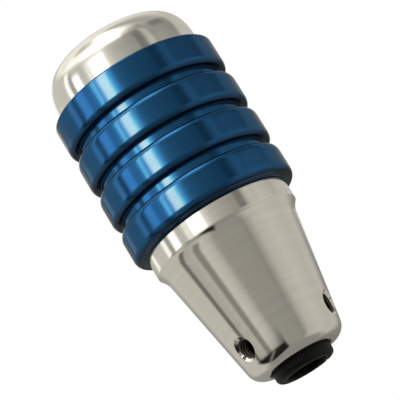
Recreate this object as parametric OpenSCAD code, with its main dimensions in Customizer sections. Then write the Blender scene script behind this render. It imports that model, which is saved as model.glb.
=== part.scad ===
// Gear shift knob: a turned blue grip sleeve held between a polished lower body and a polished top cap.
// +Z points up the lever's axis, and z = 0 is the lower end of the lever bush. Millimetres.

/* [Grip sleeve] */
// Diameter over the raised rings
grip_d = 42; // [40:0.5:50]
// Number of raised rings
ring_count = 4; // [3:1:6]
// Height of each raised ring
ring_h = 7.8; // [6:0.1:12]
// Width of the grooves between the rings
groove_w = 2.3; // [1.5:0.1:4]
// Depth of the grooves
groove_depth = 2.1; // [1.2:0.1:3.5]
// Wall left between the groove floors and the sleeve's bore
sleeve_wall = 6.35; // [4:0.05:7]
// Bevel on the sleeve's top edge
sleeve_top_bevel = 0.3; // [0.1:0.05:1]
// How far the rounded edges of a ring run inwards
ring_round_in = 1; // [0.3:0.05:1.5]
// How far the rounded edges of a ring run along its side
ring_round_h = 1.65; // [0.5:0.05:2.8]
// Height of the short neck between the last ring and the collar
sleeve_foot_h = 0.2; // [0.1:0.05:2]

/* [Top cap] */
// How far the cap's side stands in from the rings
cap_inset = 2.35; // [1:0.05:4]
// Height of the straight side above the sleeve
cap_side_h = 1.8; // [0.5:0.1:6]
// Height of the rounded shoulder
cap_shoulder_h = 10.6; // [6:0.1:16]
// How far the shoulder runs in to the flat top
cap_shoulder_in = 12.45; // [8:0.05:15]
// Fullness of the shoulder curve, where 1 is an ellipse and less is fuller
cap_fullness = 0.66; // [0.5:0.02:1]
// Depth of the cap's spigot inside the sleeve
cap_spigot_h = 8; // [5:0.5:12]

/* [Lower body] */
// How far the collar stands in from the rings
collar_inset = 2.75; // [1:0.05:4]
// Height of the collar
collar_h = 4.8; // [3:0.1:10]
// Height of the hollow curve under the collar
cove_h = 3.1; // [2:0.1:5]
// Step inwards across the hollow curve
cove_in = 1.5; // [0.8:0.05:2]
// Height of the cone from the bottom face to the hollow curve
cone_h = 29.3; // [24:0.1:40]
// Wall round the bush's bore where the cone would meet the bottom face
foot_wall = 4.15; // [3.7:0.05:5]
// Radius between the cone and the bottom face
foot_round = 3.6; // [2:0.1:3.6]
// Radial clearance of the sleeve on its spigots
sleeve_clearance = 0.05; // [0.02:0.01:0.2]
// Fine break on the edges of the collar and the cap where they meet the sleeve
edge_break = 0.15; // [0.05:0.05:0.4]
// Gap between the body's spigot and the cap's
spigot_gap = 0.4; // [0.2:0.1:0.8]

/* [Lever bush] */
// Outside diameter of the bush
bush_d = 14.8; // [14:0.1:15]
// Diameter of the bore that takes the lever
lever_bore_d = 10.1; // [8.1:0.1:10.6]
// Length of the bush
bush_len = 34; // [26:0.5:36]
// How far the bush stands out of the body
bush_proud = 2.7; // [1.5:0.1:5]
// Radius of the bush's lower edge
bush_round = 1.2; // [0.4:0.1:1.4]
// Bevel at both ends of the lever bore and on the bush's upper edge
bush_bevel = 0.4; // [0.2:0.05:0.6]
// Width of the slit that lets the bush close on the lever
slit_w = 1.5; // [0.8:0.1:3]
// Radial clearance of the bush in the body
bush_clearance = 0.1; // [0.05:0.01:0.2]
// Bevel at the mouth of the body's bore
mouth_bevel = 0.6; // [0.3:0.05:0.6]

/* [Grub screws] */
// Height of the grub screws above the body's bottom face
grub_rise = 6.9; // [6.5:0.1:16]
// Thread diameter of the grub screws
grub_d = 5; // [4:0.5:5]
// Length of the grub screws
grub_len = 4; // [3.5:0.5:5]
// Width across the flats of the grub screws' key
grub_key = 2.5; // [1.5:0.1:2.5]
// Depth of the grub screws' key hole
grub_key_depth = 2; // [1:0.1:2.4]
// Bevel at the mouth of each tapped hole
grub_mouth_bevel = 0.4; // [0.2:0.05:0.8]
// Depth of the seats that the grub screws have in the bush
grub_seat_depth = 1.2; // [0.5:0.1:1.5]
// Radial clearance that stands for the thread
thread_clearance = 0.05; // [0.02:0.01:0.1]
// Gap between a tightened grub screw and its seat
grub_seat_gap = 0.05; // [0.02:0.01:0.2]

/* [Clamp screw] */
// Thread diameter of the screw that draws the cap down
clamp_d = 6; // [5:0.5:8]
// Length of the screw under its head
clamp_len = 40; // [35:1:45]
// Diameter of the head
clamp_head_d = 10; // [9:0.5:11]
// Height of the head
clamp_head_h = 6; // [5:0.5:8]
// Width across the flats of the key
clamp_key = 5; // [4:0.5:5.5]
// Depth of the key hole
clamp_key_depth = 3; // [2:0.5:4]
// Diameter of the lock washer
washer_d = 11.8; // [11.4:0.1:12]
// Thickness of the lock washer
washer_t = 1.6; // [1:0.1:2]
// Space left between the head and the bush's upper end
head_space = 0.9; // [0.5:0.1:3]
// Radial play of the screw in the body and washer
clamp_play = 0.3; // [0.1:0.05:0.5]
// Thread left free past the screw's tip
tap_spare = 1.6; // [0.5:0.1:3]

/* [Hidden] */
$fn = 96;

// Radial sizes worked out from the diameters
grip_r = grip_d / 2;
floor_r = grip_r - groove_depth;
round_r = grip_r - ring_round_in;
sleeve_bore_r = floor_r - sleeve_wall;
spigot_r = sleeve_bore_r - sleeve_clearance;
cap_r = grip_r - cap_inset;
cap_flat_r = cap_r - cap_shoulder_in;
bush_r = bush_d / 2;
lever_r = lever_bore_d / 2;
body_bore_r = bush_r + bush_clearance;
collar_r = grip_r - collar_inset;
cone_top_r = collar_r - cove_in;
cone_foot_r = body_bore_r + foot_wall;
cone_angle = atan((cone_top_r - cone_foot_r) / cone_h);
washer_r = washer_d / 2;
clamp_hole_r = clamp_d / 2 + clamp_play;
tap_r = clamp_d / 2 + thread_clearance;
grub_r = grub_d / 2;
grub_hole_r = grub_r + thread_clearance;

// Heights, from the lower end of the bush upwards
body_z = bush_proud;
cone_top_z = body_z + cone_h;
collar_z = cone_top_z + cove_h;
sleeve_z = collar_z + collar_h;
sleeve_h = sleeve_foot_h + ring_count * ring_h + (ring_count - 1) * groove_w;
cap_z = sleeve_z + sleeve_h;
shoulder_z = cap_z + cap_side_h;
spigot_top_z = cap_z - cap_spigot_h - spigot_gap;
head_z = bush_len + head_space;
washer_z = head_z + clamp_head_h;
body_bore_end_z = washer_z + washer_t;
clamp_tip_z = washer_z + clamp_len;
tap_end_z = clamp_tip_z + tap_spare;
grub_z = body_z + grub_rise;

// The grub screws stand evenly round the axis, and the slit lies opposite the second one
grub_count = 3;
first_grub_angle = 90;
grub_step = 360 / grub_count;
slit_angle = first_grub_angle + grub_step - 180;
grub_tip_r = bush_r - grub_seat_depth + grub_seat_gap;
grub_seat_r = grub_hole_r + thread_clearance;
cone_r_at_grub = cone_foot_r + grub_rise * tan(cone_angle);

// Small shared sizes
edge = 0.5;
cut = 1;
drill_point = 59;
arc_steps = 8;
shoulder_steps = 28;

// Points of an arc or quarter ellipse about a centre, from one angle to another
function arc(centre, rx, rz, from, to, steps) = [
    for (i = [0 : steps])
        let (a = from + (to - from) * i / steps)
        [centre.x + rx * cos(a), centre.y + rz * sin(a)]
];

// The foot's arc touches the bottom face and the cone
foot_centre = [
    cone_foot_r + foot_round * tan(cone_angle) - foot_round / cos(cone_angle),
    body_z + foot_round
];

// The cove's arc leaves along the cone and ends at the collar's crisp lower edge
cove_chord = norm([cove_in, cove_h]);
cove_turn = 2 * (atan(cove_in / cove_h) - cone_angle);
cove_r = cove_chord / (2 * sin(cove_turn / 2));
cove_centre = [cone_top_r + cove_r * cos(cone_angle), cone_top_z - cove_r * sin(cone_angle)];

body_profile = concat(
    [[0, body_z]],
    arc(foot_centre, foot_round, foot_round, -90, -cone_angle, arc_steps),
    arc(cove_centre, cove_r, cove_r, 180 - cone_angle, 180 - cone_angle - cove_turn, arc_steps),
    [
        [collar_r, sleeve_z - edge_break],
        [collar_r - edge_break, sleeve_z],
        [spigot_r, sleeve_z],
        [spigot_r, spigot_top_z - edge],
        [spigot_r - edge, spigot_top_z],
        [0, spigot_top_z]
    ]
);

// Top edge of a ring, counted down from the top of the sleeve
function ring_top(i) = cap_z - i * (ring_h + groove_w);

// The sleeve's top edge, from the bore out to the side of the first ring
function sleeve_top_points() = [
    [sleeve_bore_r, cap_z - edge],
    [sleeve_bore_r + edge, cap_z],
    [grip_r - sleeve_top_bevel, cap_z],
    [grip_r, cap_z - sleeve_top_bevel]
];

// A lower ring's top edge, from the groove floor above it out to its side
function ring_top_points(top) = concat(
    [[floor_r, top]],
    arc([round_r, top - ring_round_h], ring_round_in, ring_round_h, 90, 0, arc_steps)
);

// One ring's outline, down to the groove floor below it
function ring_profile(i) =
    let (top = ring_top(i), bottom = top - ring_h)
    concat(
        i == 0 ? sleeve_top_points() : ring_top_points(top),
        arc([round_r, bottom + ring_round_h], ring_round_in, -ring_round_h, 0, 90, arc_steps),
        [[floor_r, bottom]]
    );

sleeve_profile = concat(
    [for (i = [0 : ring_count - 1]) each ring_profile(i)],
    [[floor_r, sleeve_z], [sleeve_bore_r + edge, sleeve_z], [sleeve_bore_r, sleeve_z + edge]]
);

// The cap's shoulder is a fuller curve than a quarter ellipse
function shoulder_point(a) = [
    cap_flat_r + (cap_r - cap_flat_r) * pow(sin(a), cap_fullness),
    shoulder_z + cap_shoulder_h * pow(cos(a), cap_fullness)
];

cap_profile = concat(
    [
        [0, cap_z - cap_spigot_h],
        [spigot_r - edge, cap_z - cap_spigot_h],
        [spigot_r, cap_z - cap_spigot_h + edge],
        [spigot_r, cap_z],
        [cap_r - edge_break, cap_z],
        [cap_r, cap_z + edge_break]
    ],
    [for (i = [0 : shoulder_steps]) shoulder_point(90 - 90 * i / shoulder_steps)],
    [[0, shoulder_z + cap_shoulder_h]]
);

bush_profile = concat(
    [[lever_r, bush_bevel], [lever_r + bush_bevel, 0]],
    arc([bush_r - bush_round, bush_round], bush_round, bush_round, -90, 0, arc_steps),
    [
        [bush_r, bush_len - bush_bevel],
        [bush_r - bush_bevel, bush_len],
        [lever_r + bush_bevel, bush_len],
        [lever_r, bush_len - bush_bevel]
    ]
);

// Puts its children on each grub screw's axis, with their +Z pointing out of the knob
module at_grub(i) {
    rotate([0, 0, first_grub_angle + i * grub_step])
        translate([0, 0, grub_z])
            rotate([0, 90, 0])
                children();
}

// A plain hole along +Z with a bevelled mouth at its far end
module bevelled_hole(r, from, to, bevel) {
    translate([0, 0, from])
        cylinder(h = to - from + cut, r = r);
    translate([0, 0, to - bevel])
        cylinder(h = bevel + cut, r1 = r, r2 = r + bevel + cut);
}

// A six-sided key hole that opens downwards
module key_hole(across_flats, depth) {
    translate([0, 0, -cut])
        cylinder(h = depth + cut, r = across_flats / 2 / cos(30), $fn = 6);
}

module lower_body() {
    color("gainsboro")
        difference() {
            rotate_extrude()
                polygon(body_profile);
            translate([0, 0, body_z - cut])
                cylinder(h = body_bore_end_z - body_z + cut, r = body_bore_r);
            translate([0, 0, body_z - cut])
                cylinder(h = mouth_bevel + cut, r1 = body_bore_r + mouth_bevel + cut, r2 = body_bore_r);
            translate([0, 0, body_bore_end_z - cut])
                cylinder(h = spigot_top_z - body_bore_end_z + 2 * cut, r = clamp_hole_r);
            for (i = [0 : grub_count - 1])
                at_grub(i)
                    bevelled_hole(grub_hole_r, lever_r, cone_r_at_grub, grub_mouth_bevel);
        }
}

module grip_sleeve() {
    color("royalblue")
        rotate_extrude()
            polygon(sleeve_profile);
}

module top_cap() {
    color("whitesmoke")
        difference() {
            rotate_extrude()
                polygon(cap_profile);
            translate([0, 0, cap_z - cap_spigot_h - cut])
                cylinder(h = tap_end_z - cap_z + cap_spigot_h + cut, r = tap_r);
            translate([0, 0, tap_end_z])
                cylinder(h = tap_r / tan(drill_point), r1 = tap_r, r2 = 0);
        }
}

module lever_bush() {
    color("dimgray")
        difference() {
            rotate_extrude()
                polygon(bush_profile);
            rotate([0, 0, slit_angle])
                translate([0, -slit_w / 2, -cut])
                    cube([bush_r + cut, slit_w, bush_len + 2 * cut]);
            for (i = [0 : grub_count - 1])
                at_grub(i)
                    translate([0, 0, bush_r - grub_seat_depth])
                        cylinder(h = grub_seat_depth + cut, r = grub_seat_r);
        }
}

module clamp_screw() {
    color("slategray")
        translate([0, 0, head_z])
            difference() {
                rotate_extrude()
                    polygon([
                        [0, 0],
                        [clamp_head_d / 2 - edge, 0],
                        [clamp_head_d / 2, edge],
                        [clamp_head_d / 2, clamp_head_h],
                        [clamp_d / 2, clamp_head_h],
                        [clamp_d / 2, clamp_head_h + clamp_len - edge],
                        [clamp_d / 2 - edge, clamp_head_h + clamp_len],
                        [0, clamp_head_h + clamp_len]
                    ]);
                key_hole(clamp_key, clamp_key_depth);
            }
}

module lock_washer() {
    color("silver")
        translate([0, 0, washer_z])
            difference() {
                cylinder(h = washer_t, r = washer_r);
                translate([0, 0, -cut])
                    cylinder(h = washer_t + 2 * cut, r = clamp_hole_r);
                rotate([0, 0, slit_angle])
                    translate([0, -slit_w / 4, -cut])
                        cube([washer_r + cut, slit_w / 2, washer_t + 2 * cut]);
            }
}

// A grub screw in its seat: a bevelled stud with a cupped point inwards and a key hole outwards
module grub_screw(i) {
    bevel = edge / 2;
    cup_r = grub_r / 2;
    color("darkslategray")
        at_grub(i)
            translate([0, 0, grub_tip_r])
                difference() {
                    rotate_extrude()
                        polygon([
                            [0, 0],
                            [grub_r - edge, 0],
                            [grub_r, edge],
                            [grub_r, grub_len - bevel],
                            [grub_r - bevel, grub_len],
                            [0, grub_len]
                        ]);
                    translate([0, 0, -cut])
                        cylinder(h = cut + cup_r / 2, r1 = cup_r + 2 * cut, r2 = 0);
                    translate([0, 0, grub_len])
                        mirror([0, 0, 1])
                            key_hole(grub_key, grub_key_depth);
                }
}

lower_body();
grip_sleeve();
top_cap();
lever_bush();
clamp_screw();
lock_washer();
grub_screw(0);  // grub_screw_1
grub_screw(1);  // grub_screw_2
grub_screw(2);  // grub_screw_3
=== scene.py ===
# Turned gear shift knob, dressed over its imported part. Lengths in the dictionaries are millimetres.
import bpy
import math
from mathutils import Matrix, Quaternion, Vector


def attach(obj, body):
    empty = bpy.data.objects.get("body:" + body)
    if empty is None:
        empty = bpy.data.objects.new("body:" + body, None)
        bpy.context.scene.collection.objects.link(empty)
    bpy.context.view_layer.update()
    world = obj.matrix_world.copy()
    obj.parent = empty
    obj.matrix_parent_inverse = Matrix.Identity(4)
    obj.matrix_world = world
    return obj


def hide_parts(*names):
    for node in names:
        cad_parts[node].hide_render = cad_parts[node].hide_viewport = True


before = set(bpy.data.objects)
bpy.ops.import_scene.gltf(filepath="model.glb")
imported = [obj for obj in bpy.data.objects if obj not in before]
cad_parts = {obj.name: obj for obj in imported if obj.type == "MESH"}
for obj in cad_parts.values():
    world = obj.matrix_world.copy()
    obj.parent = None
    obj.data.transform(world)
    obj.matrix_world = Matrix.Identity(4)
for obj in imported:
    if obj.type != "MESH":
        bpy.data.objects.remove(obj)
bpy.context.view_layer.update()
mm = 0.001
weldGap = 0.001 * mm        # points that are closer than this are one

# Camera at the photo's angle, a little below the foot, with the knob leaning left
cameraSetup = {
    "place": (-83.5, -414.65, -69.89),
    "target": (-0.62, 0.12, 46.47),
    "lean": 31.62,      # degrees from upright, to the left
    "lens": 171.43,
}


def placeCamera(setup):
    place = Vector(setup["place"]) * mm
    look = (Vector(setup["target"]) * mm - place).normalized()
    turn = look.to_track_quat("-Z", "Y") @ Quaternion((0, 0, 1), math.radians(-setup["lean"]))
    bpy.ops.object.camera_add(location=place, rotation=turn.to_euler())
    camera = bpy.context.object
    camera.data.lens = setup["lens"]
    camera.data.sensor_width = 36
    camera.data.clip_start = 0.01
    camera.data.clip_end = 20
    bpy.context.scene.camera = camera


placeCamera(cameraSetup)
print("camera placed")


# Small tools

def srgb(hexColour):
    parts = [int(hexColour[i:i + 2], 16) / 255 for i in (1, 3, 5)]
    linear = [c / 12.92 if c <= 0.04045 else ((c + 0.055) / 1.055) ** 2.4 for c in parts]
    return (*linear, 1)


def addNode(material, kind, settings=None, links=None):
    node = material.node_tree.nodes.new(kind)
    for key, value in (settings or {}).items():
        if isinstance(key, int) or (key in node.inputs.keys() and not hasattr(type(node), key)):
            node.inputs[key].default_value = value
        else:
            setattr(node, key, value)
    for key, socket in (links or {}).items():
        material.node_tree.links.new(socket, node.inputs[key])
    return node


def newMaterial(name):
    material = bpy.data.materials.new(name)
    material.use_nodes = True
    material.node_tree.nodes.clear()
    return material


# Operators act on this piece alone from here on
def pickOnly(obj):
    bpy.ops.object.select_all(action="DESELECT")
    obj.select_set(True)
    bpy.context.view_layer.objects.active = obj


def startEdit(obj):
    pickOnly(obj)
    bpy.ops.object.mode_set(mode="EDIT")
    bpy.ops.mesh.select_all(action="DESELECT")


def endEdit():
    bpy.ops.object.mode_set(mode="OBJECT")


# The place and turn of a piece go into its mesh
def applyPlace(obj):
    pickOnly(obj)
    bpy.ops.object.transform_apply(location=True, rotation=True, scale=True)


# Points of an arc in the profile's plane, as (radius, height)
def arcPoints(centre, radii, start, end, steps):
    angles = [math.radians(start + (end - start) * i / steps) for i in range(steps + 1)]
    return [(centre[0] + radii[0] * math.cos(a), centre[1] + radii[1] * math.sin(a)) for a in angles]


# Points from one place to the next, so that long faces shade evenly
def linePoints(start, end, steps):
    return [(start[0] + (end[0] - start[0]) * i / steps, start[1] + (end[1] - start[1]) * i / steps)
            for i in range(1, steps)]


# A circle is extruded and resized from point to point, as a lathe tool would follow the profile
def turnProfile(name, points, segments):
    radius, height = points[0]
    bpy.ops.object.select_all(action="DESELECT")
    bpy.ops.mesh.primitive_circle_add(vertices=segments, radius=radius * mm, fill_type="NOTHING",
                                      location=(0, 0, height * mm))
    obj = bpy.context.object
    obj.name = obj.data.name = name
    bpy.ops.object.mode_set(mode="EDIT")
    bpy.ops.mesh.select_all(action="SELECT")
    for (r0, z0), (r1, z1) in zip(points, points[1:]):
        bpy.ops.mesh.extrude_region_move(TRANSFORM_OT_translate={"value": (0, 0, (z1 - z0) * mm)})
        if r1 != r0:
            bpy.ops.transform.resize(value=(r1 / r0, r1 / r0, 1), center_override=(0, 0, z1 * mm))
    bpy.ops.mesh.select_all(action="SELECT")
    bpy.ops.mesh.remove_doubles(threshold=weldGap)
    bpy.ops.mesh.normals_make_consistent(inside=False)
    endEdit()
    applyPlace(obj)
    return obj


# Crisp edges of a turned piece get the tiny round that polishing leaves
def breakEdges(obj, width, angle=32):
    startEdit(obj)
    bpy.ops.mesh.select_mode(type="EDGE")
    bpy.ops.mesh.edges_select_sharp(sharpness=math.radians(angle))
    bpy.ops.mesh.bevel(offset=width * mm, segments=3, profile=0.5, affect="EDGES", clamp_overlap=True)
    bpy.ops.mesh.select_mode(type="VERT")
    endEdit()


def shadeTurned(obj, angle=32):
    pickOnly(obj)
    bpy.ops.object.shade_smooth_by_angle(angle=math.radians(angle))
    weighted = obj.modifiers.new("weighted", "WEIGHTED_NORMAL")
    weighted.keep_sharp = True
    weighted.weight = 100
    bpy.ops.object.modifier_apply(modifier=weighted.name)


# Cuts a piece with a second one, trims it to that one or joins both, and the second one goes
def combine(obj, tool, operation):
    pickOnly(obj)
    both = obj.modifiers.new("both", "BOOLEAN")
    both.operation = operation
    both.solver = "EXACT"
    both.object = tool
    bpy.ops.object.modifier_apply(modifier=both.name)
    bpy.data.objects.remove(tool)


# An open ring at this radius and height is drawn to a point on the axis
def closeToPoint(obj, radius, height, tip):
    startEdit(obj)      # leaves nothing selected
    endEdit()
    for v in obj.data.vertices:
        offRing = math.hypot(v.co.x, v.co.y) - radius * mm
        v.select = abs(offRing) < 2 * weldGap and abs(v.co.z - height * mm) < 2 * weldGap
    bpy.ops.object.mode_set(mode="EDIT")
    bpy.ops.mesh.select_mode(type="VERT")
    bpy.ops.mesh.extrude_region_move(TRANSFORM_OT_translate={"value": (0, 0, (tip - height) * mm)})
    bpy.ops.transform.resize(value=(0, 0, 1), center_override=(0, 0, 0))
    bpy.ops.mesh.select_all(action="SELECT")
    bpy.ops.mesh.remove_doubles(threshold=weldGap)
    bpy.ops.mesh.normals_make_consistent(inside=False)
    endEdit()


# A solid rod with a thread on it, standing on the origin; the zigzag of one turn is swept up the axis
def threadedRod(name, crest, root, pitch, turns):
    flank, flat, depth = 0.3, (0.25, 0.15), crest - root        # flank and flats as shares of the pitch
    bpy.ops.object.select_all(action="DESELECT")
    bpy.ops.mesh.primitive_plane_add(size=0.1 * mm, location=(root * mm, 0, 0))
    obj = bpy.context.object
    obj.name = obj.data.name = name
    bpy.ops.object.mode_set(mode="EDIT")
    bpy.ops.mesh.select_all(action="SELECT")
    bpy.ops.mesh.merge(type="CENTER")
    for out, up in ((0, flat[0]), (depth, flank), (0, flat[1]), (-depth, flank)):
        bpy.ops.mesh.extrude_region_move(TRANSFORM_OT_translate={"value": (out * mm, 0, up * pitch * mm)})
    endEdit()
    applyPlace(obj)
    sweep = obj.modifiers.new("sweep", "SCREW")
    sweep.angle = math.tau
    sweep.screw_offset = pitch * mm
    sweep.iterations = turns
    sweep.steps = sweep.render_steps = 40
    sweep.use_merge_vertices = True
    sweep.merge_threshold = weldGap
    bpy.ops.object.modifier_apply(modifier=sweep.name)
    startEdit(obj)
    bpy.ops.mesh.select_all(action="SELECT")
    bpy.ops.mesh.remove_doubles(threshold=weldGap)
    bpy.ops.mesh.fill_holes(sides=0)
    bpy.ops.mesh.poke()
    bpy.ops.mesh.select_all(action="SELECT")
    bpy.ops.mesh.normals_make_consistent(inside=False)
    endEdit()
    return obj


# A cone on the axis that cuts a bevel, between two rings given as (radius, height)
def bevelCutter(low, high, sides):
    middle = (low[1] + high[1]) / 2
    bpy.ops.object.select_all(action="DESELECT")
    bpy.ops.mesh.primitive_cone_add(vertices=sides, radius1=low[0] * mm, radius2=high[0] * mm,
                                    depth=(high[1] - low[1]) * mm, location=(0, 0, middle * mm))
    cone = bpy.context.object
    applyPlace(cone)
    return cone


# A six-sided cutter for a hex socket, from over the head's face to a point under its floor
def hexCutter(corner, face, floor, tip):
    key = turnProfile("hexKey", [(corner, face), (corner, floor)], 6)
    closeToPoint(key, corner, floor, tip)
    closeToPoint(key, corner, face, face)
    return key


# Turns a piece that stands on the origin on to a radial axis of the knob, from this radius outwards
def toRadial(obj, angle, radius, height, droop=0):
    turn = math.radians(angle)
    obj.rotation_euler = (0, math.pi / 2 + math.radians(droop), turn)
    obj.location = (radius * mm * math.cos(turn), radius * mm * math.sin(turn), height * mm)
    applyPlace(obj)


grubScrews = {
    "angles": (90, 210, 330),
    "height": 9.6,
    "tipRadius": 6.25,      # distance of the point from the knob's axis
    "length": 4,
    "pitch": 0.8,           # M5
    "holeCrest": 2.5,       # how far the tapped hole's thread is cut
    "holeRoot": 2.14,
    "holeStart": 4.9,       # the tap comes from inside the bore
    "holeTurns": 12,
    "mouthBevel": 0.6,      # countersink of the hole, square to the cone
    "mouthDepth": 0.8,      # how deep its cutter stands in the metal, and how far out
    "mouthOut": 0.4,
    "screwCrest": 2.1,      # runs clear of the hole's thread, so the screw can slide
    "screwRoot": 1.85,
    "screwTurns": 8,
    "cup": ((0.9, 0.45), (1.25, 0), (1.5, 0)),      # hollow point, as (radius, height) from inside outwards
    "cupDepth": 0.9,
    "pointLength": 0.6,
    "topBevel": 0.35,
    "topRadius": 1.75,
    "middle": 1.0,          # the last ring round the top's middle
    "segments": 64,
    "key": 2.5,
    "keyDepth": 2,
    "keyPoint": 0.5,        # the drill's point under the socket's floor
    "keyBevel": (0.2, 0.6),     # how far the bevel's cutter stands in the screw and out
}

lowerBody = {
    "segments": 288,
    "bottom": 2.7,
    "boreRadius": 7.5,
    "mouthBevel": 0.6,
    "footCentre": (8.6225, 6.3),
    "footRound": 3.6,
    "coneAngle": 9.874,
    "coneTop": (16.75, 32.0),
    "coveCentre": (22.9245, 30.925),
    "coveRound": 6.2673,
    "coveTurn": 31.894,
    "collar": (18.25, 39.9),
    "edgeBreak": 0.15,
    "spigot": (12.5, 69.8),
    "spigotBevel": 0.5,
    "screwHole": 3.3,
    "boreEnd": 42.5,
    "softness": 0.12,       # round left on the crisp edges
}


def makeLowerBody(p, screws):
    foot = arcPoints(p["footCentre"], (p["footRound"],) * 2, -90, -p["coneAngle"], 20)
    cove = arcPoints(p["coveCentre"], (p["coveRound"],) * 2, 180 - p["coneAngle"],
                     180 - p["coneAngle"] - p["coveTurn"], 14)
    collarRadius, sleeveFloor = p["collar"]
    spigotRadius, spigotTop = p["spigot"]
    bore = p["boreRadius"]
    points = [(bore + p["mouthBevel"], p["bottom"])]
    points += foot + linePoints(foot[-1], p["coneTop"], 60) + cove
    points += linePoints(cove[-1], (collarRadius, sleeveFloor), 10)
    points += [(collarRadius, sleeveFloor - p["edgeBreak"]), (collarRadius - p["edgeBreak"], sleeveFloor)]
    points += [(spigotRadius, sleeveFloor), (spigotRadius, spigotTop - p["spigotBevel"])]
    points += [(spigotRadius - p["spigotBevel"], spigotTop), (p["screwHole"], spigotTop)]
    points += [(p["screwHole"], p["boreEnd"]), (bore, p["boreEnd"])]
    points += linePoints((bore, p["boreEnd"]), (bore, p["bottom"] + p["mouthBevel"]), 30)
    points += [(bore, p["bottom"] + p["mouthBevel"]), (bore + p["mouthBevel"], p["bottom"])]
    body = turnProfile("lowerBody", points, p["segments"])
    breakEdges(body, p["softness"])
    coneRadius = foot[-1][0] + (screws["height"] - foot[-1][1]) * math.tan(math.radians(p["coneAngle"]))
    crest, root = screws["holeCrest"], screws["holeRoot"]
    mouth, inside, outside = crest + screws["mouthBevel"], screws["mouthDepth"], screws["mouthOut"]
    for angle in screws["angles"]:
        tap = threadedRod("tap", crest, root, screws["pitch"], screws["holeTurns"])
        toRadial(tap, angle, screws["holeStart"], screws["height"])
        combine(body, tap, "DIFFERENCE")
        countersink = bevelCutter((mouth - inside, -inside), (mouth + outside, outside), 72)
        toRadial(countersink, angle, coneRadius, screws["height"], p["coneAngle"])
        combine(body, countersink, "DIFFERENCE")
    shadeTurned(body)
    return body


body = makeLowerBody(lowerBody, grubScrews)
print("lower body turned, bored and tapped")


gripSleeve = {
    "segments": 288,
    "top": 78.2,
    "bottom": 39.9,
    "outer": 21,
    "floor": 18.9,
    "bore": 12.55,
    "leadIn": 0.5,
    "rings": 4,
    "ringHeight": 7.8,
    "groove": 2.3,
    "topBevel": 0.3,
    "roundIn": 1.0,
    "roundUp": 1.65,
    "softness": 0.09,
}


def makeGripSleeve(p):
    rounds = (p["roundIn"], p["roundUp"])
    shoulder = p["outer"] - p["roundIn"]
    points = [(p["bore"], p["top"] - p["leadIn"]), (p["bore"] + p["leadIn"], p["top"])]
    for i in range(p["rings"]):
        top = p["top"] - i * (p["ringHeight"] + p["groove"])
        bottom = top - p["ringHeight"]
        if i == 0:
            upper = [(p["outer"] - p["topBevel"], top), (p["outer"], top - p["topBevel"])]
        else:
            points.append((p["floor"], top))
            upper = arcPoints((shoulder, top - p["roundUp"]), rounds, 90, 0, 14)
        lower = arcPoints((shoulder, bottom + p["roundUp"]), rounds, 0, -90, 14)
        points += upper + linePoints(upper[-1], lower[0], 8) + lower
        points.append((p["floor"], bottom))
    points += [(p["floor"], p["bottom"]), (p["bore"] + p["leadIn"], p["bottom"])]
    points += [(p["bore"], p["bottom"] + p["leadIn"]), (p["bore"], p["top"] - p["leadIn"])]
    sleeve = turnProfile("gripSleeve", points, p["segments"])
    breakEdges(sleeve, p["softness"])
    shadeTurned(sleeve)
    return sleeve


sleeve = makeGripSleeve(gripSleeve)
print("grip sleeve turned")


topCap = {
    "segments": 288,
    "spigotFoot": 70.2,
    "spigot": 12.5,
    "spigotBevel": 0.5,
    "bottom": 78.2,
    "side": 18.65,
    "edgeBreak": 0.15,
    "shoulderFoot": 80.0,
    "shoulderHeight": 10.6,
    "flat": 6.2,
    "fullness": 0.66,       # 1 makes the shoulder an ellipse, and less is fuller
    "tapRadius": 3.05,
    "tapEnd": 82.5,
    "drillDepth": 1.83,
    "spacing": 0.28,        # distance between the points of the shoulder
    "middle": 0.4,          # the last ring round the flat's middle
    "softness": 0.1,
}


def makeTopCap(p):
    run = p["side"] - p["flat"]
    steps = 2000        # fine enough to pick points of even spacing from
    fine = []
    for i in range(steps + 1):
        a = math.radians(90 - 90 * i / steps)
        out, up = max(math.sin(a), 0) ** p["fullness"], max(math.cos(a), 0) ** p["fullness"]
        fine.append((p["flat"] + run * out, p["shoulderFoot"] + p["shoulderHeight"] * up))
    shoulder = [fine[0]]
    for point in fine:
        if math.dist(point, shoulder[-1]) >= p["spacing"]:
            shoulder.append(point)
    points = [(p["tapRadius"], p["tapEnd"]), (p["tapRadius"], p["spigotFoot"])]
    points += [(p["spigot"] - p["spigotBevel"], p["spigotFoot"])]
    points += [(p["spigot"], p["spigotFoot"] + p["spigotBevel"]), (p["spigot"], p["bottom"])]
    points += [(p["side"] - p["edgeBreak"], p["bottom"]), (p["side"], p["bottom"] + p["edgeBreak"])]
    points += linePoints(points[-1], shoulder[0], 4) + shoulder
    top, middle = p["shoulderFoot"] + p["shoulderHeight"], p["middle"]
    points += [(p["flat"], top)] + linePoints((p["flat"], top), (middle, top), 10) + [(middle, top)]
    cap = turnProfile("topCap", points, p["segments"])
    closeToPoint(cap, middle, top, top)
    closeToPoint(cap, p["tapRadius"], p["tapEnd"], p["tapEnd"] + p["drillDepth"])
    breakEdges(cap, p["softness"])
    shadeTurned(cap)
    return cap


cap = makeTopCap(topCap)
print("top cap turned")


leverBush = {
    "segments": 144,
    "outer": 7.4,
    "bore": 5.05,
    "length": 34,
    "round": 1.2,
    "bevel": 0.4,
    "slit": 1.5,
    "slitAngle": 30,
    "slitReach": 6,         # length of its cutter, and how far out its middle stands
    "seat": 2.6,
    "seatDepth": 1.2,
    "seatCutter": 2,
    "softness": 0.08,
}


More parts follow.
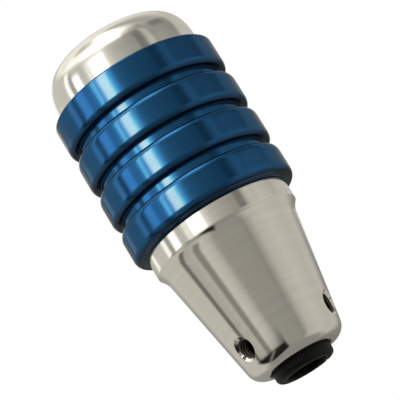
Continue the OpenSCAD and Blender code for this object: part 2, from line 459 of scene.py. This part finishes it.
def makeLeverBush(p, screws):
    outer, bore, bevel, length = p["outer"], p["bore"], p["bevel"], p["length"]
    points = [(bore, bevel), (bore + bevel, 0)]
    points += arcPoints((outer - p["round"], p["round"]), (p["round"],) * 2, -90, 0, 14)
    points += linePoints(points[-1], (outer, length - bevel), 24)
    points += [(outer, length - bevel), (outer - bevel, length)]
    points += [(bore + bevel, length), (bore, length - bevel)]
    points += linePoints(points[-1], (bore, bevel), 24) + [(bore, bevel)]
    bush = turnProfile("leverBush", points, p["segments"])
    angle, reach = math.radians(p["slitAngle"]), p["slitReach"] * mm
    bpy.ops.object.select_all(action="DESELECT")
    place = (reach * math.cos(angle), reach * math.sin(angle), length / 2 * mm)
    bpy.ops.mesh.primitive_cube_add(size=1, location=place, rotation=(0, 0, angle),
                                    scale=(reach, p["slit"] * mm, (length + 2) * mm))
    combine(bush, bpy.context.object, "DIFFERENCE")
    for turn in screws["angles"]:
        bpy.ops.object.select_all(action="DESELECT")
        bpy.ops.mesh.primitive_cylinder_add(vertices=48, radius=p["seat"] * mm, depth=p["seatCutter"] * mm)
        seat = bpy.context.object
        toRadial(seat, turn, outer - p["seatDepth"] + p["seatCutter"] / 2, screws["height"])
        combine(bush, seat, "DIFFERENCE")
    breakEdges(bush, p["softness"], 40)
    shadeTurned(bush)
    return bush


bush = makeLeverBush(leverBush, grubScrews)
print("lever bush turned and slit")


# One screw stands on the origin, is copied, and each copy goes into its hole
def makeGrubScrews(p):
    length, wide = p["length"], p["screwCrest"] + 0.05      # the blank stands clear of the thread
    first = threadedRod("grubScrew", p["screwCrest"], p["screwRoot"], p["pitch"], p["screwTurns"])
    first.location = (0, 0, -p["pitch"] * mm)       # its ragged start is trimmed off
    applyPlace(first)
    points = [*p["cup"], (wide, p["pointLength"]), (wide, length - p["topBevel"]), (p["topRadius"], length)]
    points += [(p["middle"], length)]
    blank = turnProfile("blank", points, p["segments"])
    closeToPoint(blank, p["middle"], length, length)
    closeToPoint(blank, *p["cup"][0], p["cupDepth"])
    combine(first, blank, "INTERSECT")
    corner, floor = p["key"] / 2 / math.cos(math.radians(30)), length - p["keyDepth"]
    combine(first, hexCutter(corner, length + 1, floor, floor - p["keyPoint"]), "DIFFERENCE")
    inside, outside = p["keyBevel"]
    bevel = bevelCutter((corner - 2 * inside, length - inside), (corner + 2 * inside, length + outside), 48)
    combine(first, bevel, "DIFFERENCE")
    screws = [first]
    for _ in p["angles"][1:]:
        copy = first.copy()
        copy.data = first.data.copy()
        bpy.context.scene.collection.objects.link(copy)
        screws.append(copy)
    for i, (screw, angle) in enumerate(zip(screws, p["angles"])):
        screw.name = screw.data.name = f"grubScrew{i + 1}"
        toRadial(screw, angle, p["tipRadius"], p["height"])
        bpy.ops.object.shade_smooth_by_angle(angle=math.radians(35))
    return screws


screws = makeGrubScrews(grubScrews)
print("grub screws threaded")


clampScrew = {
    "segments": 96,
    "foot": 34.9,
    "headRadius": 5,
    "headHeight": 6,
    "headRound": 0.5,
    "neck": 0.3,            # fillet under the head
    "shank": 3,
    "root": 2.62,
    "shankEnd": 64,
    "threadStart": 64.6,
    "threadTurns": 14,
    "pitch": 1.0,           # M6
    "tip": 80.9,
    "tipBevel": (0.6, 0.4),     # across and up
    "middle": 1.0,          # the last ring round the tip's middle
    "key": 5,
    "keyDepth": 3,
    "keyPoint": 1,
    "keyBevel": (0.75, 0.25),
}


def makeClampScrew(p):
    foot, headTop, shank, root = p["foot"], p["foot"] + p["headHeight"], p["shank"], p["root"]
    tip, middle = p["tip"], p["middle"]
    across, up = p["tipBevel"]
    points = [(p["key"] / 2, foot), (p["headRadius"] - p["headRound"], foot)]
    points += [(p["headRadius"], foot + p["headRound"]), (p["headRadius"], headTop)]
    points += [(shank + p["neck"], headTop), (shank, headTop + p["neck"]), (shank, p["shankEnd"])]
    points += [(root, p["shankEnd"] + up), (root, tip - up), (root - across, tip), (middle, tip)]
    screw = turnProfile("clampScrew", points, p["segments"])
    closeToPoint(screw, p["key"] / 2, foot, foot)
    closeToPoint(screw, middle, tip, tip)
    corner, floor = p["key"] / 2 / math.cos(math.radians(30)), foot + p["keyDepth"]
    combine(screw, hexCutter(corner, foot - 1, floor, floor + p["keyPoint"]), "DIFFERENCE")
    outside, inside = p["keyBevel"]
    bevel = bevelCutter((corner + 2 * inside, foot - outside), (corner - 2 * inside, foot + inside), 64)
    combine(screw, bevel, "DIFFERENCE")
    thread = threadedRod("thread", shank, root, p["pitch"], p["threadTurns"])
    thread.location = (0, 0, p["threadStart"] * mm)
    applyPlace(thread)
    combine(screw, thread, "UNION")
    bpy.ops.object.shade_smooth_by_angle(angle=math.radians(35))
    return screw


clamp = makeClampScrew(clampScrew)
print("clamp screw made")


# Place along a turned profile, in millimetres, from the height and the distance from the axis
def alongProfile(material, place, radiusShare):
    split = addNode(material, "ShaderNodeSeparateXYZ", links={0: place})
    flat = addNode(material, "ShaderNodeCombineXYZ", links={0: split.outputs[0], 1: split.outputs[1]})
    radius = addNode(material, "ShaderNodeVectorMath", {"operation": "LENGTH"}, {0: flat.outputs[0]})
    share = addNode(material, "ShaderNodeMath", {"operation": "MULTIPLY", 1: radiusShare},
                    {0: radius.outputs["Value"]})
    both = addNode(material, "ShaderNodeMath", {"operation": "ADD"},
                   {0: split.outputs[2], 1: share.outputs[0]})
    along = addNode(material, "ShaderNodeMath", {"operation": "MULTIPLY", 1: 1 / mm}, {0: both.outputs[0]})
    return along.outputs[0]


# Turned metal: the tool's fine rings blur a reflection across them and leave it sharp along them. Colour and
# tone are its two tints, markPitch and markDepth the rings' size in millimetres, some ten times the real
# ones', so that they show.
# Faces that look down get painted shade: their colour is darkened by the given share
def turnedMetal(name, colour, tone, roughness, anisotropy, markPitch, markDepth, radiusShare, coat=0.0,
                paintedUnderShade=1.0, edgeTint="#ffffff"):
    material = newMaterial(name)
    place = addNode(material, "ShaderNodeTexCoord")
    along = alongProfile(material, place.outputs["Object"], radiusShare)
    fine = addNode(material, "ShaderNodeTexNoise",
                   {"noise_dimensions": "1D", "Scale": 1 / markPitch, "Detail": 3.0, "Roughness": 0.65},
                   {"W": along})
    broad = addNode(material, "ShaderNodeTexNoise",
                    {"noise_dimensions": "1D", "Scale": 0.12 / markPitch, "Detail": 2.0}, {"W": along})
    marks = addNode(material, "ShaderNodeMath", {"operation": "MULTIPLY_ADD", 1: 0.5},
                    {0: broad.outputs[0], 2: fine.outputs[0]})
    bump = addNode(material, "ShaderNodeBump", {"Strength": 1.0, "Distance": markDepth * mm},
                   {"Height": marks.outputs[0]})
    # handling marks: soft patches of some 11 mm that dull the polish a little
    smudge = addNode(material, "ShaderNodeTexNoise",
                     {"Scale": 1 / (11.11 * mm), "Detail": 4.0, "Roughness": 0.55},
                     {"Vector": place.outputs["Object"]})
    clean, dull = roughness * 0.85, roughness * 1.25
    rough = addNode(material, "ShaderNodeMapRange",
                    {"From Min": 0.3, "From Max": 0.75, "To Min": clean, "To Max": dull},
                    {"Value": smudge.outputs[0]})
    shade = addNode(material, "ShaderNodeMix", {"data_type": "RGBA", 6: srgb(colour), 7: srgb(tone)},
                    {0: broad.outputs[0]})
    # painted shade: faces that look down get their colour darkened by the given share, as if in shade
    facing = addNode(material, "ShaderNodeSeparateXYZ", links={0: place.outputs["Normal"]})
    paintedShade = addNode(material, "ShaderNodeMapRange",
                    {"From Min": -0.2, "From Max": -0.6, "To Min": 1.0, "To Max": paintedUnderShade},
                    {"Value": facing.outputs[2]})
    colourWithShade = addNode(material, "ShaderNodeVectorMath", {"operation": "SCALE"},
                   {0: shade.outputs[2], 3: paintedShade.outputs[0]})
    tangent = addNode(material, "ShaderNodeTangent", {"direction_type": "RADIAL", "axis": "Z"})
    shader = addNode(material, "ShaderNodeBsdfPrincipled",
                     {"Metallic": 1.0, "Anisotropic": anisotropy, "Anisotropic Rotation": 0.25,
                      "Coat Weight": coat, "Coat Roughness": 0.12, "Specular Tint": srgb(edgeTint)},
                     {"Base Color": colourWithShade.outputs[0], "Roughness": rough.outputs[0], "Normal": bump.outputs[0],
                      "Tangent": tangent.outputs[0]})
    addNode(material, "ShaderNodeOutputMaterial", links={"Surface": shader.outputs[0]})
    return material


# Black nylon, moulded: deep black with a faint satin grain of 0.3 mm and wear in patches of 4 mm
def mouldedNylon(name):
    material = newMaterial(name)
    place = addNode(material, "ShaderNodeTexCoord")
    grain = addNode(material, "ShaderNodeTexNoise", {"Scale": 1 / (0.2857 * mm), "Detail": 3.0},
                    {"Vector": place.outputs["Object"]})
    wear = addNode(material, "ShaderNodeTexNoise", {"Scale": 1 / (3.846 * mm), "Detail": 4.0},
                   {"Vector": place.outputs["Object"]})
    shade = addNode(material, "ShaderNodeMix", {"data_type": "RGBA", 6: srgb("#0b0b0b"), 7: srgb("#121211")},
                    {0: wear.outputs[0]})
    rough = addNode(material, "ShaderNodeMapRange",
                    {"From Min": 0.3, "From Max": 0.7, "To Min": 0.45, "To Max": 0.6},
                    {"Value": wear.outputs[0]})
    bump = addNode(material, "ShaderNodeBump", {"Strength": 0.25, "Distance": 0.02 * mm},
                   {"Height": grain.outputs[0]})
    shader = addNode(material, "ShaderNodeBsdfPrincipled", {"IOR": 1.53, "Specular IOR Level": 0.2},
                     {"Base Color": shade.outputs[2], "Roughness": rough.outputs[0],
                      "Normal": bump.outputs[0]})
    addNode(material, "ShaderNodeOutputMaterial", links={"Surface": shader.outputs[0]})
    return material


# Metal that is left as it was cut, plated or blackened: it goes from dark to light in patches of this size in
# millimetres, and from smooth to rough with them
def patchyMetal(name, dark, light, patch, detail, roughness, bumpStrength):
    material = newMaterial(name)
    place = addNode(material, "ShaderNodeTexCoord")
    patches = addNode(material, "ShaderNodeTexNoise", {"Scale": 1 / (patch * mm), "Detail": detail},
                      {"Vector": place.outputs["Object"]})
    shade = addNode(material, "ShaderNodeMix", {"data_type": "RGBA", 6: srgb(dark), 7: srgb(light)},
                    {0: patches.outputs[0]})
    rough = addNode(material, "ShaderNodeMapRange",
                    {"From Min": 0.3, "From Max": 0.7, "To Min": roughness[0], "To Max": roughness[1]},
                    {"Value": patches.outputs[0]})
    bump = addNode(material, "ShaderNodeBump", {"Strength": bumpStrength, "Distance": 0.01 * mm},
                   {"Height": patches.outputs[0]})
    shader = addNode(material, "ShaderNodeBsdfPrincipled", {"Metallic": 1.0},
                     {"Base Color": shade.outputs[2], "Roughness": rough.outputs[0],
                      "Normal": bump.outputs[0]})
    addNode(material, "ShaderNodeOutputMaterial", links={"Surface": shader.outputs[0]})
    return material


# Polished aluminium mirrors the room almost unbroken, with a faint warm white of its own
polishedBody = turnedMetal("polished aluminium, body", "#e9e6e0", "#dfdcd5", roughness=0.13, anisotropy=0.5,
                           markPitch=0.22, markDepth=0.0004, radiusShare=1.0)
polishedCap = turnedMetal("polished aluminium, cap", "#ebe9e4", "#e2dfd9", roughness=0.13, anisotropy=0.5,
                          markPitch=0.22, markDepth=0.0004, radiusShare=-1.0)
# Blue anodising dyes each reflection deep blue under a thin clear gloss, and goes grey at a glancing look;
# its faces that look down get painted shade
blueAnodised = turnedMetal("blue anodised aluminium", "#145a8c", "#125385", roughness=0.17, anisotropy=0.4,
                           markPitch=0.3, markDepth=0.0012, radiusShare=0.37, coat=0.35, paintedUnderShade=0.35,
                           edgeTint="#a9b0ab")
# Cut aluminium in the tapped holes and the bore looks dull; its dark brown-grey colour is painted shade of
# these hollows
shadedCutAluminium = patchyMetal("tapped and bored aluminium", "#5a524b", "#7d746a", patch=1.667, detail=4.0,
                              roughness=(0.38, 0.6), bumpStrength=0.4)
blackNylon = mouldedNylon("moulded black nylon")
# Black oxide looks soft and sooty
blackSteel = patchyMetal("black oxide steel", "#26262a", "#3a3a3e", patch=1.429, detail=5.0,
                         roughness=(0.336, 0.504), bumpStrength=0.3)
# Bright zinc has a pale bluish sheen
zincSteel = patchyMetal("bright zinc steel", "#a9acb2", "#c3c6cb", patch=1.429, detail=5.0,
                        roughness=(0.24, 0.36), bumpStrength=0.3)


# Faces of the bore, its mouth and the tapped holes get the second material, dark with painted shade, with a
# little play at their edges
def markCutFaces(obj, p, screws):
    mouth = p["boreRadius"] + p["mouthBevel"] - 0.02
    for face in obj.data.polygons:
        x, y, z = (part / mm for part in face.center)
        radius = math.hypot(x, y)
        face.material_index = int(radius < mouth and z < p["boreEnd"] + 0.1)
        for angle in screws["angles"]:
            along = x * math.cos(math.radians(angle)) + y * math.sin(math.radians(angle))
            offAxis = math.hypot(math.sqrt(max(radius ** 2 - along ** 2, 0)), z - screws["height"])
            if along > 0 and offAxis < screws["holeCrest"] + 0.03:
                face.material_index = 1


for piece, material, slot, node, carrier in (
        (body, polishedBody, "polished_body", "lower_body", "knob"),
        (sleeve, blueAnodised, "blue_anodised", "grip_sleeve", "knob"),
        (cap, polishedCap, "polished_cap", "top_cap", "knob"),
        (bush, blackNylon, "black_nylon", "lever_bush", "knob"),
        (clamp, zincSteel, "zinc_steel", "clamp_screw", "knob"),
        (screws[0], blackSteel, "black_steel", "grub_screw_1", "grub_1"),
        (screws[1], blackSteel, "black_steel", "grub_screw_2", "grub_2"),
        (screws[2], blackSteel, "black_steel", "grub_screw_3", "grub_3")):
    piece.data.materials.clear()
    piece.data.materials.append(material)
    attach(piece, carrier)
    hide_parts(node)
body.data.materials.append(shadedCutAluminium)
markCutFaces(body, lowerBody, grubScrews)
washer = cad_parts["lock_washer"]
for i in range(len(washer.material_slots)):
    washer.material_slots[i].material = zincSteel
print("materials on")


# A pale floor, seen only from above, inside a round light tent. The metal has no look of its own but what it
# mirrors, so the tent goes from grey to grey round the knob, in one way low down, in another above, and cards
# stand before it. Angles are degrees round the knob from the camera, to the picture's right, and lengths are
# metres.
stage = {
    "floorSize": 6.0,
    "floorDrop": 0.0002,    # the floor lies this far under the foot
    "floorColour": "#e8e6e2",
    "floorFade": (0.35, 0.7),       # between these distances it goes over into the white behind it
    "tentRadius": 0.75,
    "tentCentre": 0.05,
    "facing": 258.7,        # polar angle of the camera
    "tint": (1.02, 1.0, 0.915),     # of every grey in the tent
    "lowWall": [(-180, 0.30), (-150, 0.38), (-138, 0.60), (-88, 0.60), (-72, 0.47), (-60, 0.52), (-40, 0.64),
                (-25, 0.53), (-16, 0.35), (28, 0.33), (33, 0.29), (50, 0.55), (75, 0.62), (105, 0.56),
                (130, 0.58), (150, 0.30), (180, 0.22)],
    "wall": [(-180, 0.40), (-150, 0.50), (-140, 0.66), (-104, 0.64), (-58, 0.58), (-48, 0.62), (-14, 0.95),
             (-9, 0.75), (-3, 0.60), (3, 0.52), (15, 0.44), (35, 0.34), (50, 0.34), (58, 0.58), (75, 0.68),
             (90, 0.62), (105, 0.55), (130, 0.58), (180, 0.55)],
    "ceiling": [(-180, 0.9), (-150, 1.0), (-110, 1.0), (-90, 1.25), (-60, 1.25), (-45, 2.0), (20, 2.5),
                (45, 1.2), (65, 0.6), (85, 0.4), (110, 0.48), (150, 0.8), (180, 0.9)],
    "below": 0.3,           # the grey under the knob
    # heights between which one grey becomes the next
    "zones": {"low": (6, 9), "high": (38, 47), "below": (-44, -62)},
    "cardReach": 0.5,       # how far the cards stand from the knob
}

# Each card adds light, or lets through only a share of the light behind it, and fades out over its soft edge
cards = [
    dict(name="window", angle=-26, width=24, low=9, high=34, soft=4, light=(1.1, 1.1, 1.15)),
    dict(name="curtain", angle=-43.5, width=9, low=9, high=36, soft=5, light=(0.35, 0.35, 0.35)),
    dict(name="lamp", angle=-68, width=14, low=8, high=30, soft=4, light=(0.85, 0.85, 0.95)),
    dict(name="far lamp", angle=-89, width=9, low=8, high=40, soft=5, light=(0.7, 0.7, 0.77)),
    dict(name="back lamp", angle=-130, width=9, low=8, high=20, soft=5, light=(0.65, 0.65, 0.6)),
    dict(name="rim lamp", angle=-160, width=24, low=20, high=36, soft=8, light=(0.6, 0.6, 0.6)),
    dict(name="dark gap", angle=-79.5, width=8, low=8, high=36, soft=3, share=0.6),
    dict(name="dark post", angle=45, width=12, low=8, high=38, soft=4, share=0.6),
    dict(name="dark side", angle=88, width=50, low=15.5, high=44, soft=8, share=0.55),
    dict(name="dark crescent", angle=88, width=26, low=33, high=42, soft=5, share=0.6),
    dict(name="lintel", angle=46, width=40, low=40, high=53, soft=6, share=0.55),
    dict(name="roof shade", angle=-62, width=70, low=63, high=80, soft=8, share=0.5),
    dict(name="low left", angle=-82, width=10, low=-40, high=7, soft=4, share=0.3),
    dict(name="low centre", angle=-50, width=12, low=-40, high=7, soft=5, share=0.45),
]

# A dark shape close to the foot, with a slanting light bar across it, in millimetres from the knob's axis
nearCards = [
    dict(name="shade by the foot", angle=-55, reach=35, offset=(11.5, -23.5), size=(62, 56), turn=0, soft=8,
         share=0.03),
    dict(name="light bar", angle=-55, reach=34, offset=(0, -19), size=(9, 44), turn=40, soft=4,
         light=(0.2, 0.2, 0.18)),
]

# The photo's camera shows a strong window as pale green in the blue. These lie over it for the sleeve alone.
glares = [
    dict(name="glare", angle=-29.2, width=12, low=9, high=34, soft=4, light=(21.0, 5.0, 1.3)),
    dict(name="glare edge", angle=-22, width=5, low=9, high=34, soft=3, light=(3.5, 3.0, 1.2)),
    dict(name="glare strip", angle=-43, width=5, low=9, high=34, soft=3, light=(4.2, 3.4, 1.9)),
    dict(name="glare haze", angle=-52, width=42, low=9, high=34, soft=8, light=(0.3, 0.4, 0.5)),
]


def makeFloor(p):
    bpy.ops.object.select_all(action="DESELECT")
    bpy.ops.mesh.primitive_plane_add(size=p["floorSize"], location=(0, 0, -p["floorDrop"]))
    floor = bpy.context.object
    floor.name = "floor"
    applyPlace(floor)
    material = newMaterial("pale floor")
    paint = addNode(material, "ShaderNodeBsdfDiffuse", {"Color": srgb(p["floorColour"])})
    clear = addNode(material, "ShaderNodeBsdfTransparent")
    side = addNode(material, "ShaderNodeNewGeometry")
    place = addNode(material, "ShaderNodeTexCoord")
    away = addNode(material, "ShaderNodeVectorMath", {"operation": "LENGTH"}, {0: place.outputs["Object"]})
    start, end = p["floorFade"]
    fade = addNode(material, "ShaderNodeMapRange", {"interpolation_type": "SMOOTHSTEP", "From Min": start,
                                                    "From Max": end}, {"Value": away.outputs["Value"]})
    hidden = addNode(material, "ShaderNodeMath", {"operation": "MAXIMUM"},
                     {0: side.outputs["Backfacing"], 1: fade.outputs[0]})
    shown = addNode(material, "ShaderNodeMixShader", links={0: hidden.outputs[0], 1: paint.outputs[0],
                                                            2: clear.outputs[0]})
    addNode(material, "ShaderNodeOutputMaterial", links={"Surface": shown.outputs[0]})
    floor.data.materials.append(material)
    floor.visible_glossy = False


# A grey that changes round the knob, through stops of (angle, grey)
def greyRound(material, angle, stops, tint):
    greys = addNode(material, "ShaderNodeValToRGB", links={0: angle})
    stands = greys.color_ramp.elements
    for i, (turn, grey) in enumerate(stops):
        if i == 0:
            stand = stands[0]
        elif i == len(stops) - 1:
            stand = stands[-1]
        else:
            stand = stands.new(turn / 360 + 0.5)
        stand.color = (*(grey * part for part in tint), 1)
    return greys.outputs[0]


# One grey becomes the next between two heights, given as angles of elevation
def blendZones(material, height, radius, ends, first, second):
    start, end = (math.sin(math.radians(end)) * radius for end in ends)
    share = addNode(material, "ShaderNodeMapRange",
                    {"interpolation_type": "SMOOTHSTEP", "From Min": start, "From Max": end},
                    {"Value": height})
    both = addNode(material, "ShaderNodeMix", {"data_type": "RGBA"}, {0: share.outputs[0], 6: first})
    if isinstance(second, bpy.types.NodeSocket):
        material.node_tree.links.new(second, both.inputs[7])
    else:
        both.inputs[7].default_value = second
    return both.outputs[2]


def makeTent(p):
    bpy.ops.object.select_all(action="DESELECT")
    bpy.ops.mesh.primitive_uv_sphere_add(segments=64, ring_count=32, radius=p["tentRadius"])
    tent = bpy.context.object
    tent.name = "tent"
    tent.location = (0, 0, p["tentCentre"])
    material = newMaterial("tent wall")
    place = addNode(material, "ShaderNodeTexCoord")
    turned = addNode(material, "ShaderNodeMapping", {"Rotation": (0, 0, math.radians(-p["facing"]))},
                     {"Vector": place.outputs["Object"]})
    angle = addNode(material, "ShaderNodeTexGradient", {"gradient_type": "RADIAL"},
                    {"Vector": turned.outputs[0]})
    low, wall, ceiling = (greyRound(material, angle.outputs["Fac"], p[zone], p["tint"])
                          for zone in ("lowWall", "wall", "ceiling"))
    split = addNode(material, "ShaderNodeSeparateXYZ", links={0: place.outputs["Object"]})
    height, radius, zones = split.outputs[2], p["tentRadius"], p["zones"]
    below = (*(p["below"] * part for part in p["tint"]), 1)
    shown = blendZones(material, height, radius, zones["low"], low, wall)
    shown = blendZones(material, height, radius, zones["high"], shown, ceiling)
    shown = blendZones(material, height, radius, zones["below"], shown, below)
    light = addNode(material, "ShaderNodeEmission", links={"Color": shown})
    addNode(material, "ShaderNodeOutputMaterial", links={"Surface": light.outputs[0]})
    tent.data.materials.append(material)
    tent.visible_camera = False
    tent.visible_shadow = False


# Strength of a card, 1 in the middle and 0 at its edges
def softEdge(material, softShares):
    place = addNode(material, "ShaderNodeTexCoord")
    split = addNode(material, "ShaderNodeSeparateXYZ", links={0: place.outputs["UV"]})
    fades = []
    for side, softShare in enumerate(softShares):
        inward = addNode(material, "ShaderNodeMath", {"operation": "PINGPONG", 1: 0.5},
                         {0: split.outputs[side]})
        fade = addNode(material, "ShaderNodeMapRange",
                       {"interpolation_type": "SMOOTHSTEP", "From Min": 0.0, "From Max": softShare},
                       {"Value": inward.outputs[0]})
        fades.append(fade.outputs[0])
    both = addNode(material, "ShaderNodeMath", {"operation": "MULTIPLY"}, dict(enumerate(fades)))
    return both.outputs[0]


# A flat card that only reflections show
def makeCard(card, place, rotation, size, softShares):
    bpy.ops.object.select_all(action="DESELECT")
    bpy.ops.mesh.primitive_plane_add(size=1, location=place, rotation=rotation)
    flat = bpy.context.object
    flat.name = card["name"]
    flat.scale = (*size, 1)
    applyPlace(flat)
    material = newMaterial(card["name"])
    fade = softEdge(material, softShares)
    if "light" in card:
        clear = addNode(material, "ShaderNodeBsdfTransparent")
        light = addNode(material, "ShaderNodeEmission", {"Color": (*card["light"], 1)}, {"Strength": fade})
        shown = addNode(material, "ShaderNodeAddShader", links={0: clear.outputs[0], 1: light.outputs[0]})
    else:
        share = addNode(material, "ShaderNodeMapRange", {"To Min": 1.0, "To Max": card["share"]},
                        {"Value": fade})
        shown = addNode(material, "ShaderNodeBsdfTransparent", links={"Color": share.outputs[0]})
    addNode(material, "ShaderNodeOutputMaterial", links={"Surface": shown.outputs[0]})
    flat.data.materials.append(material)
    flat.visible_camera = False
    flat.visible_shadow = False
    flat.visible_diffuse = False
    return flat


# A far card stands inside the tent, square to the line from the knob
def makeFarCard(p, card):
    soft, reach = card["soft"], p["cardReach"]
    wide, tall = card["width"] + soft, card["high"] - card["low"] + soft
    polar = math.radians(p["facing"] + card["angle"])
    rise = math.radians((card["low"] + card["high"]) / 2)
    out = reach * math.cos(rise)
    place = (out * math.cos(polar), out * math.sin(polar), reach * math.sin(rise) + p["tentCentre"])
    size = (2 * out * math.tan(math.radians(wide / 2)), 2 * reach * math.tan(math.radians(tall / 2)))
    rotation = (math.pi / 2 + rise, 0, polar - math.pi / 2)
    return makeCard(card, place, rotation, size, (soft / wide, soft / tall))


# A near card stands upright, moved across and up in its own plane
def makeNearCard(p, card):
    polar, turn = math.radians(p["facing"] + card["angle"]), math.radians(card["turn"])
    across, up = card["offset"]
    x = card["reach"] * math.cos(polar) - across * math.sin(polar)
    y = card["reach"] * math.sin(polar) + across * math.cos(polar)
    softShares = [card["soft"] / side for side in card["size"]]
    size = [side * mm for side in card["size"]]
    rotation = (math.pi / 2, -turn, polar - math.pi / 2)
    return makeCard(card, (x * mm, y * mm, up * mm), rotation, size, softShares)


makeFloor(stage)
makeTent(stage)
for card in cards:
    makeFarCard(stage, card)
for card in nearCards:
    makeNearCard(stage, card)
onlySleeve = bpy.data.collections.new("glare on the sleeve")
onlySleeve.objects.link(sleeve)
for card in glares:
    makeFarCard(stage, card).light_linking.receiver_collection = onlySleeve


# White behind everything
def makeSky():
    world = bpy.data.worlds.new("white room")
    bpy.context.scene.world = world
    world.use_nodes = True
    background = world.node_tree.nodes["Background"]
    background.inputs["Color"].default_value = (1, 1, 1, 1)
    background.inputs["Strength"].default_value = 1.0


makeSky()
bpy.context.scene.view_settings.view_transform = "Standard"
print("stage lit")
